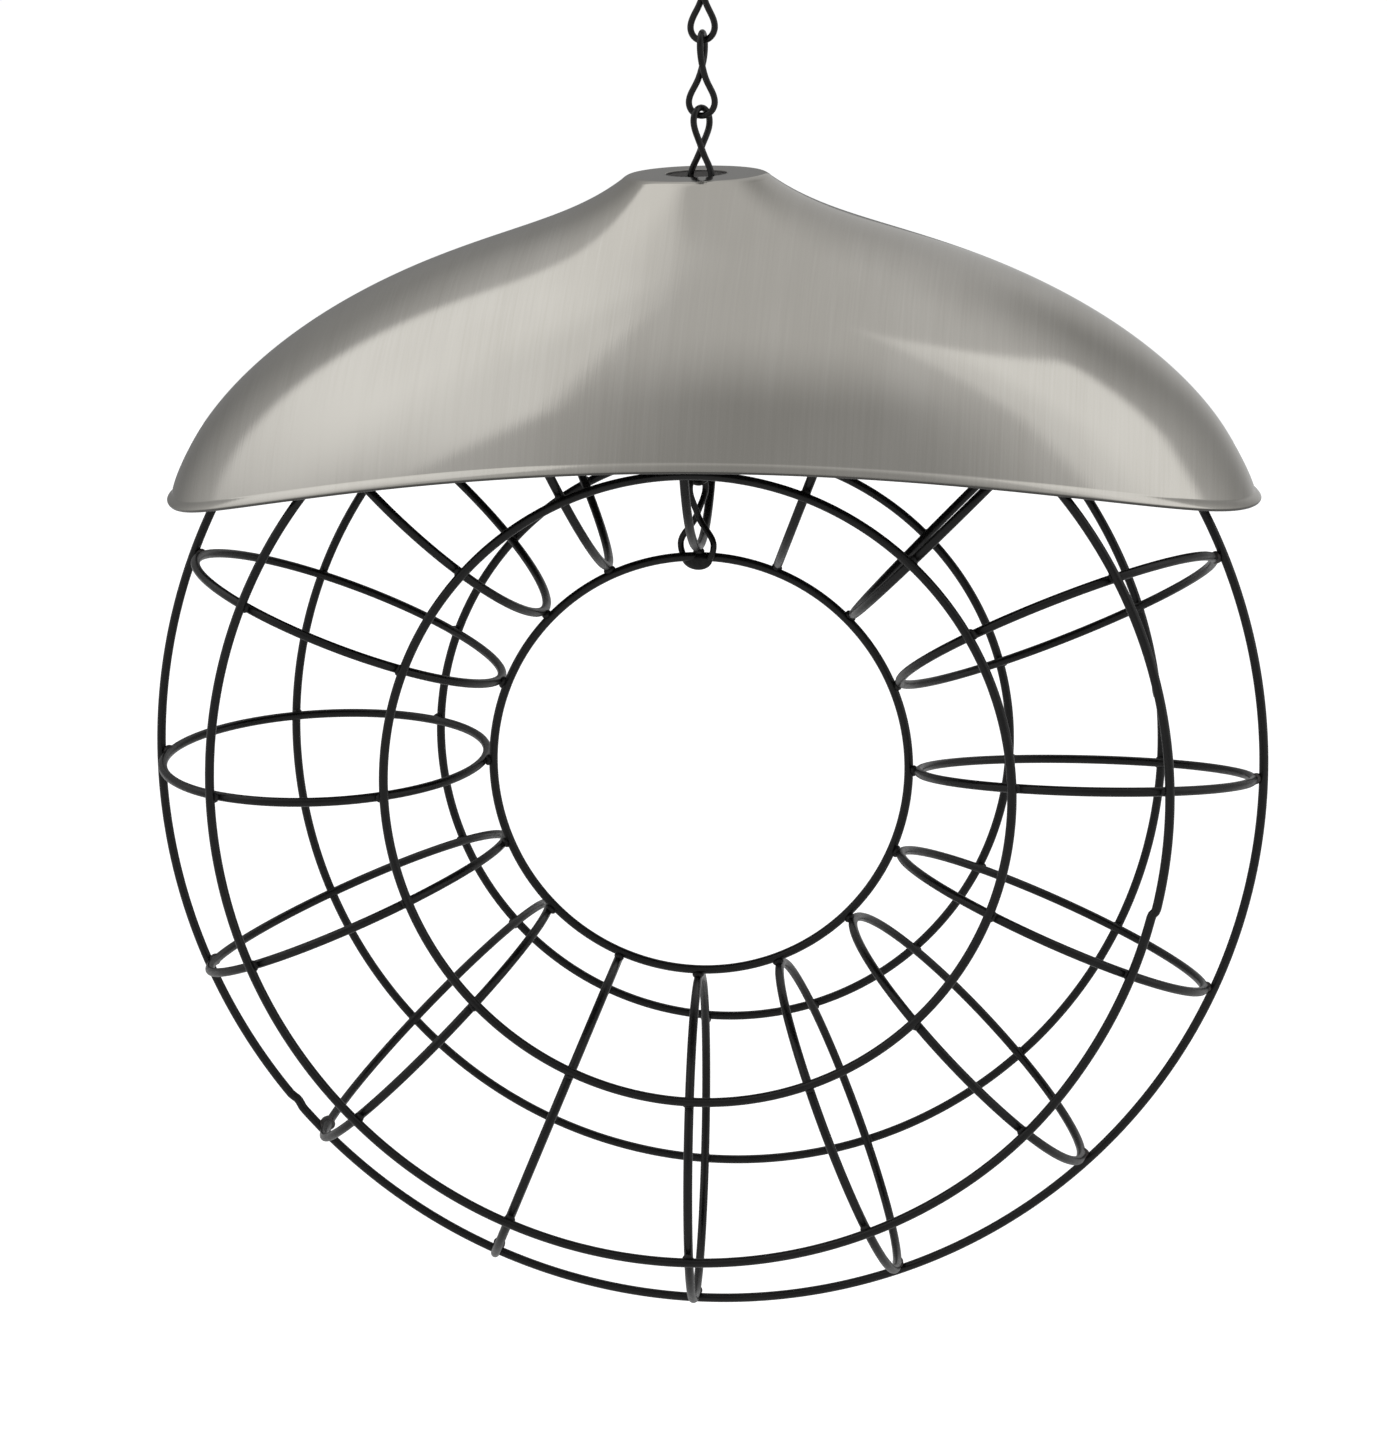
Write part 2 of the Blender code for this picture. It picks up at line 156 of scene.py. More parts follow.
# %% A board of nodes
class Board:
    """One node tree, emptied and filled again."""

    def __init__(self, owner):
        owner.use_nodes = True
        self.tree = owner.node_tree
        self.tree.nodes.clear()

    def node(self, kind, settings=None, inputs=None):
        """Adds a node: its settings first, then a value or a link for each named socket."""
        node = self.tree.nodes.new(kind)
        for name, value in (settings or {}).items():
            setattr(node, name, value)
        for name, value in (inputs or {}).items():
            self.feed(node.inputs[name], value)
        return node

    def feed(self, socket, value):
        """Links a Value to the socket, or types a plain number or colour into it."""
        if isinstance(value, Value):
            self.tree.links.new(value.socket, socket)
        else:
            socket.default_value = value

    def out(self, node, name=0):
        """The node's output, by its name or number, as a Value."""
        return Value(self, node.outputs[name])

    def maths(self, operation, first, second=0.0):
        """One Math node."""
        inputs = {0: first, 1: second}
        return self.out(self.node("ShaderNodeMath", {"operation": operation}, inputs))

    def smooth(self, value, low, high):
        """0 below low, 1 above high, and a smooth step between them."""
        settings = {"interpolation_type": "SMOOTHSTEP"}
        inputs = {"Value": value, "From Min": low, "From Max": high}
        return self.out(self.node("ShaderNodeMapRange", settings, inputs))

    def past(self, value, edge, blur):
        """0 below the edge and 1 above it, blurred as far to either side."""
        return self.smooth(value - edge, -blur, blur)

    def blend(self, factor, first, second):
        """A colour that goes from first to second as the factor goes from 0 to 1."""
        inputs = {0: factor, 6: first, 7: second}
        return self.out(self.node("ShaderNodeMix", {"data_type": "RGBA"}, inputs), 2)

    def noise(self, vector, scale, detail, roughness):
        """Fine random variation, about 0.5 in the middle."""
        inputs = {"Vector": vector, "Scale": scale, "Detail": detail, "Roughness": roughness}
        return self.out(self.node("ShaderNodeTexNoise", {}, inputs), "Fac")

    def stretched(self, vector, stretch):
        """Coordinates multiplied by a stretch along each axis."""
        inputs = {"Vector": vector, "Scale": stretch}
        return self.out(self.node("ShaderNodeMapping", {}, inputs))

    def surface(self, tint, rough, height, bump_strength, bump_depth, fixed):
        """The end of a material: a Principled shader over a bump, with its fixed values."""
        bump = self.node("ShaderNodeBump", {}, {
            "Strength": bump_strength, "Distance": bump_depth, "Height": height,
        })
        shader = self.node("ShaderNodeBsdfPrincipled", {}, {
            "Base Color": tint, "Roughness": rough, "Normal": self.out(bump), **fixed,
        })
        self.node("ShaderNodeOutputMaterial", {}, {"Surface": self.out(shader)})


print("a Board adds nodes and links them")

# %% Grey walls and a paler ceiling
# A level of 1 is white. Ranges, edges and blurs are in degrees.
FRONT_LIGHT = 0.37
FRONT_LEFT_GAIN, FRONT_LEFT_RANGE = 0.19, (-2.0, 42.0)
FRONT_RIGHT_GAIN, FRONT_RIGHT_RANGE = 0.24, (30.0, 66.0)
BACK_LOSS, BACK_RANGE = 0.44, (92.0, 138.0)
LOW_LEFT_LOSS, LOW_LEFT_RANGE, LOW_RANGE = 0.16, (60.0, 90.0), (5.0, 40.0)
BACK_MIDDLE_GAIN, BACK_MIDDLE_RANGE = 0.17, (138.0, 164.0)
CEILING_LIGHT, CEILING_RANGE = 0.68, (47.0, 76.0)
CEILING_ASIDE, CEILING_RIGHT = 0.07, 0.03


def wall_light(board, azimuth, elevation):
    """Grey walls: brighter towards both sides of the front, darker behind, brighter again
    right behind. The ceiling takes over as the elevation rises."""
    aside = board.maths("ABSOLUTE", azimuth)
    leftward = -azimuth
    front = FRONT_LIGHT + FRONT_LEFT_GAIN * board.smooth(leftward, *FRONT_LEFT_RANGE)
    front = front + FRONT_RIGHT_GAIN * board.smooth(azimuth, *FRONT_RIGHT_RANGE)
    low_left = board.smooth(leftward, *LOW_LEFT_RANGE)
    low_left = low_left * (1.0 - board.smooth(elevation, *LOW_RANGE))
    loss = (BACK_LOSS + LOW_LEFT_LOSS * low_left) * board.smooth(aside, *BACK_RANGE)
    walls = front * (1.0 - loss) + BACK_MIDDLE_GAIN * board.smooth(azimuth, *BACK_MIDDLE_RANGE)
    tilted = elevation + CEILING_ASIDE * aside - CEILING_RIGHT * azimuth
    return walls + (CEILING_LIGHT - walls) * board.smooth(tilted, *CEILING_RANGE)


print("front wall:", FRONT_LIGHT, "ceiling:", CEILING_LIGHT)

# %% Bright panel at the left
LEFT_LIGHT = 0.67
LEFT_RISE, LEFT_RISE_RANGE = 0.39, (0.0, 45.0)
LEFT_FRONT_LOSS, LEFT_FRONT_RANGE = 0.13, (-80.0, -50.0)
LEFT_TOP_LOSS, LEFT_TOP_RANGE = 0.30, (66.0, 88.0)
LEFT_FAR_EDGE, LEFT_FAR_SLOPE, LEFT_FAR_BOW, LEFT_FAR_BLUR = -98.0, 0.25, 0.0042, 4.0
LEFT_NEAR_EDGE, LEFT_NEAR_SLOPE, LEFT_NEAR_BOW, LEFT_NEAR_BLUR = -60.0, 0.60, 0.014, 3.0
LEFT_NEAR_BEND = 45.0


def left_panel(board, azimuth, elevation, high):
    """Where the left panel is, and its light. With h the height in degrees, the far edge runs
    at edge - slope h - bow h^2, and the near edge at edge + slope h up to its bend, from where
    it bows back by bow (h - bend)^2. It is brighter high up, except near the top."""
    higher = board.maths("MAXIMUM", elevation - LEFT_NEAR_BEND, 0.0)
    far = LEFT_FAR_EDGE - LEFT_FAR_SLOPE * high - LEFT_FAR_BOW * high * high
    near = LEFT_NEAR_EDGE + LEFT_NEAR_SLOPE * (high - higher) - LEFT_NEAR_BOW * higher * higher
    share = board.past(azimuth, far, LEFT_FAR_BLUR)
    share = share * (1.0 - board.past(azimuth, near, LEFT_NEAR_BLUR))
    light = LEFT_LIGHT + LEFT_RISE * board.smooth(elevation, *LEFT_RISE_RANGE)
    light = light - LEFT_FRONT_LOSS * board.smooth(azimuth, *LEFT_FRONT_RANGE)
    return share, light - LEFT_TOP_LOSS * board.smooth(elevation, *LEFT_TOP_RANGE)


print("left panel:", LEFT_LIGHT, "to", round(LEFT_LIGHT + LEFT_RISE, 2))

# %% Bright panel at the right
RIGHT_LIGHT, RIGHT_RISE = 0.88, 0.16
RIGHT_RISE_AROUND, RIGHT_RISE_UP = (70.0, 88.0), (-5.0, 20.0)
RIGHT_NEAR_EDGE, RIGHT_NEAR_BLUR = 65.5, 3.5
RIGHT_FAR_EDGE, RIGHT_FAR_BOW, RIGHT_FAR_BLUR = 102.0, 0.0048, 4.0
RIGHT_TOP_EDGE, RIGHT_TOP_SLOPE, RIGHT_TOP_BLUR = 104.0, 0.45, 2.0


def right_panel(board, azimuth, elevation, high):
    """Where the right panel is, and its light. Its near edge is upright, its far edge runs at
    edge + bow h^2, and its top is cut where elevation + slope azimuth reaches the top edge."""
    far = RIGHT_FAR_EDGE + RIGHT_FAR_BOW * high * high
    share = board.past(azimuth, RIGHT_NEAR_EDGE, RIGHT_NEAR_BLUR)
    share = share * (1.0 - board.past(azimuth, far, RIGHT_FAR_BLUR))
    slanted = elevation + RIGHT_TOP_SLOPE * azimuth
    share = share * (1.0 - board.past(slanted, RIGHT_TOP_EDGE, RIGHT_TOP_BLUR))
    rise = board.smooth(azimuth, *RIGHT_RISE_AROUND) * board.smooth(elevation, *RIGHT_RISE_UP)
    return share, RIGHT_LIGHT + RIGHT_RISE * rise


print("right panel:", RIGHT_LIGHT, "to", round(RIGHT_LIGHT + RIGHT_RISE, 2))


# %% The room's light by direction
def room_light(board, direction):
    """How bright the room is in each direction. Azimuth is 0 towards the front and grows to
    the right, elevation grows upwards, both in degrees. Each panel replaces what is behind it
    by its share: light + share (panel - light)."""
    split = board.node("ShaderNodeSeparateXYZ", {}, {"Vector": direction})
    x, y, z = (board.out(split, name) for name in "XYZ")
    azimuth = board.maths("ARCTAN2", x, -y) * math.degrees(1.0)
    elevation = board.maths("ARCSINE", z) * math.degrees(1.0)
    high = board.maths("MAXIMUM", elevation, 0.0)
    light = wall_light(board, azimuth, elevation)
    for panel in (left_panel, right_panel):
        share, panel_light = panel(board, azimuth, elevation, high)
        light = light + share * (panel_light - light)
    return light


print("walls, ceiling and panels make one room")

# %% World
WHITE = (1.0, 1.0, 1.0, 1.0)
BACKDROP_LIGHT = 1.02
world = bpy.data.worlds.new("studio")
bpy.context.scene.world = world
bpy.context.scene.view_settings.view_transform = "Standard"
board = Board(world)
direction = board.out(board.node("ShaderNodeTexCoord"), "Generated")
room, backdrop = (
    board.out(board.node("ShaderNodeBackground", {}, {"Color": WHITE, "Strength": strength}))
    for strength in (room_light(board, direction), BACKDROP_LIGHT)
)
seen = board.out(board.node("ShaderNodeLightPath"), "Is Camera Ray")
both = board.node("ShaderNodeMixShader", {}, {0: seen, 1: room, 2: backdrop})
board.node("ShaderNodeOutputWorld", {}, {"Surface": board.out(both)})
print("world has", len(world.node_tree.nodes), "nodes")

# %% Floor
FLOOR_LEVEL = -0.95
FLOOR_REACH = 12.0
FLOOR_SHINE = 0.6
FLOOR_PAINT = (0.9, 0.9, 0.9, 1.0)
floor_mesh = bpy.data.meshes.new("floor")
corner_signs = ((-1, -1), (1, -1), (1, 1), (-1, 1))
floor_corners = [(FLOOR_REACH * i, FLOOR_REACH * j, FLOOR_LEVEL) for i, j in corner_signs]
floor_mesh.from_pydata(floor_corners, [], [(0, 1, 2, 3)])
floor = bpy.data.objects.new("floor", floor_mesh)
bpy.context.scene.collection.objects.link(floor)
floor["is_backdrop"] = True
floor_paint = bpy.data.materials.new("floor_paint")
board = Board(floor_paint)
pale = board.node("ShaderNodeBsdfDiffuse", {}, {"Color": FLOOR_PAINT})
seen = board.out(board.node("ShaderNodeLightPath"), "Is Camera Ray")
shine = board.node("ShaderNodeEmission", {}, {"Strength": seen * FLOOR_SHINE})
lit = board.node("ShaderNodeAddShader", {}, {0: board.out(pale), 1: board.out(shine)})
board.node("ShaderNodeOutputMaterial", {}, {"Surface": board.out(lit)})
floor_mesh.materials.append(floor_paint)
print("floor lies", -FLOOR_LEVEL, "m below the hook")

# %% [markdown]
# ## From a formula to a mesh
# Every new piece is a grid of points: one parameter runs along it, the other round it. Curves
# with a bevel could draw the wires, but a grid gives the same control over wires, beads and
# sheet. The helpers below join neighbouring points by four-sided faces, close the seams, and
# turn all faces outwards by the sign of the volume that they enclose.

# %% Grids into meshes
def grid_piece(name, grid, wrap_rows, wrap_columns, material, cap_ends=False, spans=(1.0, 1.0)):
    """The surface through grid[row, column]. Rows and columns may wrap round. Open ends may
    each be closed by one flat face. A UV map gives the place along the rows and columns, in
    the units of spans."""
    rows, columns = grid.shape[:2]
    row, column = np.meshgrid(
        np.arange(rows if wrap_rows else rows - 1),
        np.arange(columns if wrap_columns else columns - 1),
        indexing="ij",
    )
    steps = ((0, 0), (0, 1), (1, 1), (1, 0))
    corners = [((row + dr) % rows) * columns + (column + dc) % columns for dr, dc in steps]
    along = [(row + dr) / rows * spans[0] for dr, dc in steps]
    across = [(column + dc) / columns * spans[1] for dr, dc in steps]
    quads, along, across = (
        np.stack(values, axis=-1).reshape(-1, 4) for values in (corners, along, across)
    )
    points = grid.reshape(-1, 3)
    middle = points.mean(axis=0)
    a, b, c, d = (points[quads[:, k]] - middle for k in range(4))
    volume = (np.cross(a, b) * c).sum() + (np.cross(a, c) * d).sum()
    step = 1 if volume > 0 else -1
    faces = quads[:, ::step].tolist()
    uv = np.stack([along, across], axis=-1)[:, ::step].reshape(-1, 2)
    if cap_ends:
        first = list(range(columns))
        last = list(range((rows - 1) * columns, rows * columns))
        faces += [first[::step], last[::-step]]
        uv = np.concatenate([uv, np.zeros((2 * columns, 2))])
    mesh = bpy.data.meshes.new(name)
    mesh.from_pydata(points.tolist(), [], faces)
    mesh.uv_layers.new(name="place").uv.foreach_set("vector", uv.astype(np.float32).ravel())
    mesh.shade_smooth()
    mesh.materials.append(material)
    piece = bpy.data.objects.new(name, mesh)
    bpy.context.scene.collection.objects.link(piece)
    return piece


def hand_over(piece, body, slot, *nodes):
    """The piece moves with the body, and stands for the nodes, which are hidden. The slot is not
    used.
    """
    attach(piece, body)
    if nodes:
        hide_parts(*nodes)


print("a grid becomes a mesh, and a mesh a piece of the feeder")

# %% Wires
WIRE_END_ANGLES = np.radians([20.0, 40.0, 58.0, 74.0])


def unit(vectors):
    """Each vector divided by its length."""
    return vectors / np.linalg.norm(vectors, axis=-1, keepdims=True)


def wire_grid(path, reference, radius, closed, sides):
    """A round section carried along a path. At each path point t is the direction of travel,
    s is square to t and to the reference, and n is square to both. The surface is
    path + radius (cos b s + sin b n), b going once round. An open path gets rounded ends: rows
    that move on by radius sin e while they shrink to radius cos e."""
    if closed:
        travel = np.roll(path, -1, axis=0) - np.roll(path, 1, axis=0)
    else:
        travel = np.gradient(path, axis=0)
    t = unit(travel)
    s = unit(np.cross(t, np.broadcast_to(reference, path.shape)))
    n = np.cross(s, t)
    radii = np.full(len(path), radius)
    if not closed:
        e = WIRE_END_ANGLES
        head = path[0] - t[0] * radius * np.sin(e[::-1, None])
        tail = path[-1] + t[-1] * radius * np.sin(e[:, None])
        path = np.concatenate([head, path, tail])
        s, n = (np.pad(rows, ((len(e), len(e)), (0, 0)), mode="edge") for rows in (s, n))
        radii = np.concatenate([radius * np.cos(e[::-1]), radii, radius * np.cos(e)])
    b = np.linspace(0.0, FULL_TURN, sides, endpoint=False)[None, :, None]
    ring = np.cos(b) * s[:, None, :] + np.sin(b) * n[:, None, :]
    return path[:, None, :] + radii[:, None, None] * ring


def wire_piece(name, path, reference, radius, closed, material, sides=16):
    """A wire as a finished mesh. Its UV map is in millimetres along and round the wire."""
    grid = wire_grid(path, reference, radius, closed, sides)
    length = np.linalg.norm(np.diff(path, axis=0), axis=1).sum() / MM
    spans = (length, FULL_TURN * radius / MM)
    return grid_piece(name, grid, closed, True, material, cap_ends=not closed, spans=spans)


print("an open wire's end is rounded in", len(WIRE_END_ANGLES), "steps")

# %% [markdown]
# ## Black powder paint
# Cage, chain and hook are dipped or sprayed black. Such paint is never quite even: it is a
# shade greyer where it is thick, a little shinier on top of the wire, and has the faint skin
# of an orange. The wire underneath was drawn through a die, which leaves fine lines along it.
# One plain black would do for the colour, but thin wires show it by their highlights alone, so
# clouds, grains and lines of noise break these up. The lines follow the wire by its UV map.

# %% Paint
CLOUDS_PER_METRE = 90.0
GRAINS_PER_METRE = 1400.0
DRAWN_LINES = (0.06, 2.2, 1.0)
PAINT_SKIN_DEPTH = 0.12 * MM


def paint(name, dark, light, least_rough, most_rough, grain=1.0):
    """Satin paint on drawn wire: colour and roughness wander between two values, and a fine
    bump gives the skin."""
    material = bpy.data.materials.new(name)
    board = Board(material)
    coordinates = board.node("ShaderNodeTexCoord")
    spot = board.out(coordinates, "Object")
    along = board.out(coordinates, "UV")
    cloud = board.noise(spot, CLOUDS_PER_METRE, 4.0, 0.6)
    grains = board.noise(spot, GRAINS_PER_METRE * grain, 3.0, 0.6)
    lines = board.noise(board.stretched(along, DRAWN_LINES), 1.0, 3.0, 0.6)
    wander = board.smooth(cloud * 0.6 + lines * 0.4, 0.38, 0.62)
    tint = board.blend(wander, (*dark, 1.0), (*light, 1.0))
    uneven = board.smooth(grains * 0.5 + cloud * 0.5, 0.35, 0.65)
    rough = least_rough + (most_rough - least_rough) * uneven
    skin = grains * 0.7 + lines * 0.3
    board.surface(tint, rough, skin, 0.25, PAINT_SKIN_DEPTH, {"Specular IOR Level": 0.36})
    return material


CAGE_PAINT = paint(
    "cage_paint", (0.0015, 0.0015, 0.0016), (0.0065, 0.0062, 0.0060), 0.24, 0.38
)
CHAIN_PAINT = paint(
    "chain_paint", (0.0015, 0.0014, 0.0014), (0.0085, 0.0075, 0.0070), 0.22, 0.40, grain=1.4
)
HOOK_PAINT = paint(
    "hook_paint", (0.0016, 0.0016, 0.0017), (0.0070, 0.0068, 0.0066), 0.24, 0.38
)
print("paints:", CAGE_PAINT.name, CHAIN_PAINT.name, HOOK_PAINT.name)

# %% [markdown]
# ## The cage
# The cage is a tube bent into a wreath: sixteen oval hoops stand round a circle, and six rings
# run round the outside of them and are welded where they cross. Copies of one hoop, set out by
# an Array modifier, would stand too evenly. So each hoop has its own small turn and lean, and
# the rings drift a little round the tube. Three rings also have a step where two stretches of
# their wire are joined.

# %% Cage sizes
OUTER_RADIUS = 148.8 * MM
INNER_RADIUS = 56.1 * MM
CAGE_WIRE = 2.4 * MM
SEAT_GAP = 0.3 * MM
HOOP_HALF_DEPTH = 47.0 * MM
SEAT_OFFSET = CAGE_WIRE + SEAT_GAP
TUBE_CENTRE = (OUTER_RADIUS + INNER_RADIUS) / 2
HOOP_HALF_HEIGHT = (OUTER_RADIUS - INNER_RADIUS) / 2 - SEAT_OFFSET
HOOP_COUNT = 16
MOUTH_HOOP = 4
WELD_OVERHANG = 3.0 * MM
HOOP_POINTS, OPEN_HOOP_POINTS = 112, 84
RING_POINTS, OPEN_RING_POINTS = 900, 850
HOOP_TURNS = (
    0.5, 1.2, 1.0, 2.0, 0.65, 2.8, 1.5, 1.1, 0.35, 1.15, 0.4, 0.75, 0.35, 0.0, 0.75, 0.45,
)
HOOP_LEANS = (
    4.6, 12.4, 0.0, -3.5, -2.1, -5.6, -0.7, -0.9, 5.5, 1.1, 4.3, 3.1, 4.5, 4.3, 2.7, 4.9,
)
turns = np.arange(HOOP_COUNT) * FULL_TURN / HOOP_COUNT + np.radians(HOOP_TURNS)
leans = np.radians(HOOP_LEANS)
print(f"{HOOP_COUNT} hoops, {2 * HOOP_HALF_HEIGHT / MM:.1f} by {2 * HOOP_HALF_DEPTH / MM:.1f} mm")

# %% Places of the rings
# Each ring has its angle round the tube (0 outwards, 90 to the front), its drift, and the turn
# where the drift takes most from the angle, all in degrees.
RINGS = {
    "outer_ring": np.radians([0.0, 0.0, 0.0]),
    "inner_ring": np.radians([180.0, 0.0, 0.0]),
    "front_outer_ring": np.radians([64.3, 1.9, -46.0]),
    "rear_outer_ring": np.radians([-63.6, 0.4, -145.0]),
    "front_inner_ring": np.radians([118.1, 5.6, 2.0]),
    "rear_inner_ring": np.radians([-117.7, 1.4, -129.0]),
}
OUTER_RING = "outer_ring"
# Each step has its height inwards, its first and last turn, and how slowly it goes in and out
# again. Turns start at the right and go round over the top.
STEPS = {
    "outer_ring": (0.5 * MM, *np.radians([220.8, 221.9, 0.25, 0.25])),
    "front_outer_ring": (0.8 * MM, *np.radians([-38.0, -12.2, 8.0, 0.25])),
    "rear_outer_ring": (0.75 * MM, *np.radians([7.4, 38.0, 0.25, 8.0])),
}
STEP_LEAD = 0.8
print("rings:", ", ".join(RINGS))


# %% Hoops
def hoop_frame(index):
    """The hoop's own directions in the wreath: out from the centre, to the back, and square to
    its plane, after it turns round the wreath and leans."""
    turn, lean = turns[index], leans[index]
    out = np.array([math.cos(turn), 0.0, math.sin(turn)])
    along = np.array([-math.sin(turn), 0.0, math.cos(turn)])
    behind = math.cos(lean) * BEHIND - math.sin(lean) * along
    return out, behind, np.cross(out, behind)


def hoop_path(index, angles):
    """The hoop's centre line: from the tube's centre, half its height times cos a outwards and
    half its depth times sin a to the front."""
    out, behind, _ = hoop_frame(index)
    centre = WREATH_CENTRE + TUBE_CENTRE * out
    reach = HOOP_HALF_HEIGHT * np.cos(angles)[:, None] * out
    return centre + reach - HOOP_HALF_DEPTH * np.sin(angles)[:, None] * behind


closed_angles = np.linspace(0.0, FULL_TURN, HOOP_POINTS, endpoint=False)
overhang = WELD_OVERHANG / HOOP_HALF_DEPTH
open_angles = np.linspace(
    RINGS["front_outer_ring"][0] - overhang,
    RINGS["rear_outer_ring"][0] + FULL_TURN + overhang,
    OPEN_HOOP_POINTS,
)
for index in range(HOOP_COUNT):
    closed = index != MOUTH_HOOP
    node = f"hoop_{index + 1:02d}"
    path = hoop_path(index, closed_angles if closed else open_angles)
    plane = hoop_frame(index)[2]
    piece = wire_piece(f"{node}_wire", path, plane, CAGE_WIRE / 2, closed, CAGE_PAINT)
    hand_over(piece, "feeder", "cage", node)
print("hoops are bent, and number", MOUTH_HOOP + 1, "is open for the mouth")


# %% Centre lines of the rings
def seat_on_hoop(angle):
    """Distance from the wreath's axis, and depth, of a ring that lies on the outside of the
    hoops at this angle round the tube: the point on the oval, moved out square to it."""
    out, front = np.cos(angle), np.sin(angle)
    square = unit(np.stack([HOOP_HALF_DEPTH * out, HOOP_HALF_HEIGHT * front], axis=-1))
    radius = TUBE_CENTRE + HOOP_HALF_HEIGHT * out + SEAT_OFFSET * square[..., 0]
    depth = HOOP_HALF_DEPTH * front + SEAT_OFFSET * square[..., 1]
    return radius, depth


def step_in(name, turn):
    """How far the ring's wire stands in from its circle where two stretches of it are joined:
    height (tanh(a / rise) - tanh(b / fall)) / 2, a and b being the turns past the step's first
    and last turn. Turns count from a little before the first one."""
    if name not in STEPS:
        return 0.0
    height, first, last, rise, fall = STEPS[name]
    offset = np.mod(turn - first + STEP_LEAD, FULL_TURN) - STEP_LEAD
    steps = np.tanh(offset / rise) - np.tanh((offset - (last - first)) / fall)
    return height * steps / 2


def ring_path(name, turn):
    """The ring's centre line, once round the wreath's axis. It lies on the hoops at its angle
    round the tube, less drift cos(turn - drift turn), and steps in where its wire is joined."""
    angle, drift, drift_turn = RINGS[name]
    radius, depth = seat_on_hoop(angle - drift * np.cos(turn - drift_turn))
    radius = radius - step_in(name, turn)
    return WREATH_CENTRE + np.stack([radius * np.cos(turn), -depth, radius * np.sin(turn)], axis=-1)


def weld_turns(name):
    """How far round the wreath each hoop meets this ring, a leaning hoop a little further."""
    radius, depth = seat_on_hoop(RINGS[name][0])
    return turns + np.arctan(np.tan(leans) * depth / radius)


print("outer ring lies", round(float(seat_on_hoop(0.0)[0]) / MM, 1), "mm from the axis")

# %% Rings on the hoops
full_turn = np.linspace(0.0, FULL_TURN, RING_POINTS, endpoint=False)
mouth_welds = weld_turns(OUTER_RING)
overhang = WELD_OVERHANG / OUTER_RADIUS
mouth_turn = np.linspace(
    mouth_welds[MOUTH_HOOP + 1] - overhang,
    mouth_welds[MOUTH_HOOP - 1] + FULL_TURN + overhang,
    OPEN_RING_POINTS,
)
for name in RINGS:
    closed = name != OUTER_RING
    path = ring_path(name, full_turn if closed else mouth_turn)
    piece = wire_piece(f"{name}_wire", path, BEHIND, CAGE_WIRE / 2, closed, CAGE_PAINT)
    hand_over(piece, "feeder", "cage", name)
print(len(RINGS), "rings are on, and", OUTER_RING, "is open for the mouth")

# %% [markdown]
# ## Welds
# Where two wires cross, a pulse of current melts them into each other. It leaves a small bead
# in the corners of the crossing. A boolean union would join the wires sharply, without a bead.
# So each bead is a ball pressed flat between the wires, with a few soft waves on its radius so
# that no two look alike.

# %% Weld metal
def weld_metal(name, dark, light):
    """Scorched weld under thin paint: lighter where the metal shows, black where paint holds."""
    material = bpy.data.materials.new(name)
    board = Board(material)
    spot = board.out(board.node("ShaderNodeTexCoord"), "Object")
    patches = board.smooth(board.noise(spot, 420.0, 3.0, 0.6), 0.40, 0.60)
    pits = board.noise(spot, 1800.0, 3.0, 0.6)
    tint = board.blend(patches, (*dark, 1.0), (*light, 1.0))
    board.surface(tint, 0.40 + 0.25 * pits, pits, 0.5, 0.2 * MM, {"Specular IOR Level": 0.4})
    return material


PAINTED_WELD = weld_metal("painted_weld", (0.002, 0.002, 0.002), (0.010, 0.009, 0.009))
BARE_WELD = weld_metal("bare_weld", (0.020, 0.018, 0.018), (0.085, 0.074, 0.072))
print("welds:", PAINTED_WELD.name, BARE_WELD.name)

# %% A pressed ball
def ball_angles(columns, rows, pole):
    """Angles round a ball and from its lower to its upper pole, as a row and a column."""
    u = np.linspace(0.0, FULL_TURN, columns, endpoint=False)[None, :]
    return u, np.linspace(-pole, pole, rows)[:, None]


def ball_grid(centre, sizes, directions, u, v):
    """A ball pressed to another size along each of its three directions: centre +
    size 1 cos v cos u direction 1 + size 2 cos v sin u direction 2 + size 3 sin v direction 3."""
    parts = (np.cos(v) * np.cos(u), np.cos(v) * np.sin(u), np.sin(v) * np.ones_like(u))
    grid = centre
    for size, part, direction in zip(sizes, parts, directions):
        grid = grid + (size * part)[..., None] * direction
    return grid


print("a ball is pressed along three directions")

# %% Beads of one ring
BEAD_SIZE = np.array([1.5, 1.55, 1.05]) * MM
END_BEAD_SIZE = np.array([1.55, 1.6, 1.5]) * MM
BEAD_SEAT, END_BEAD_SEAT = 0.5, 0.25
BEAD_WAVES = (0.10, 0.07)
HOOP_PHASE, RING_PHASE = 2.399, 5.0
BEAD_POLE = 1.42
BEAD_ROWS, BEAD_COLUMNS = 11, 20
LUMP_HOOP = 10
LUMP_SCALE = 1.45
NEARBY_TURN = 0.001


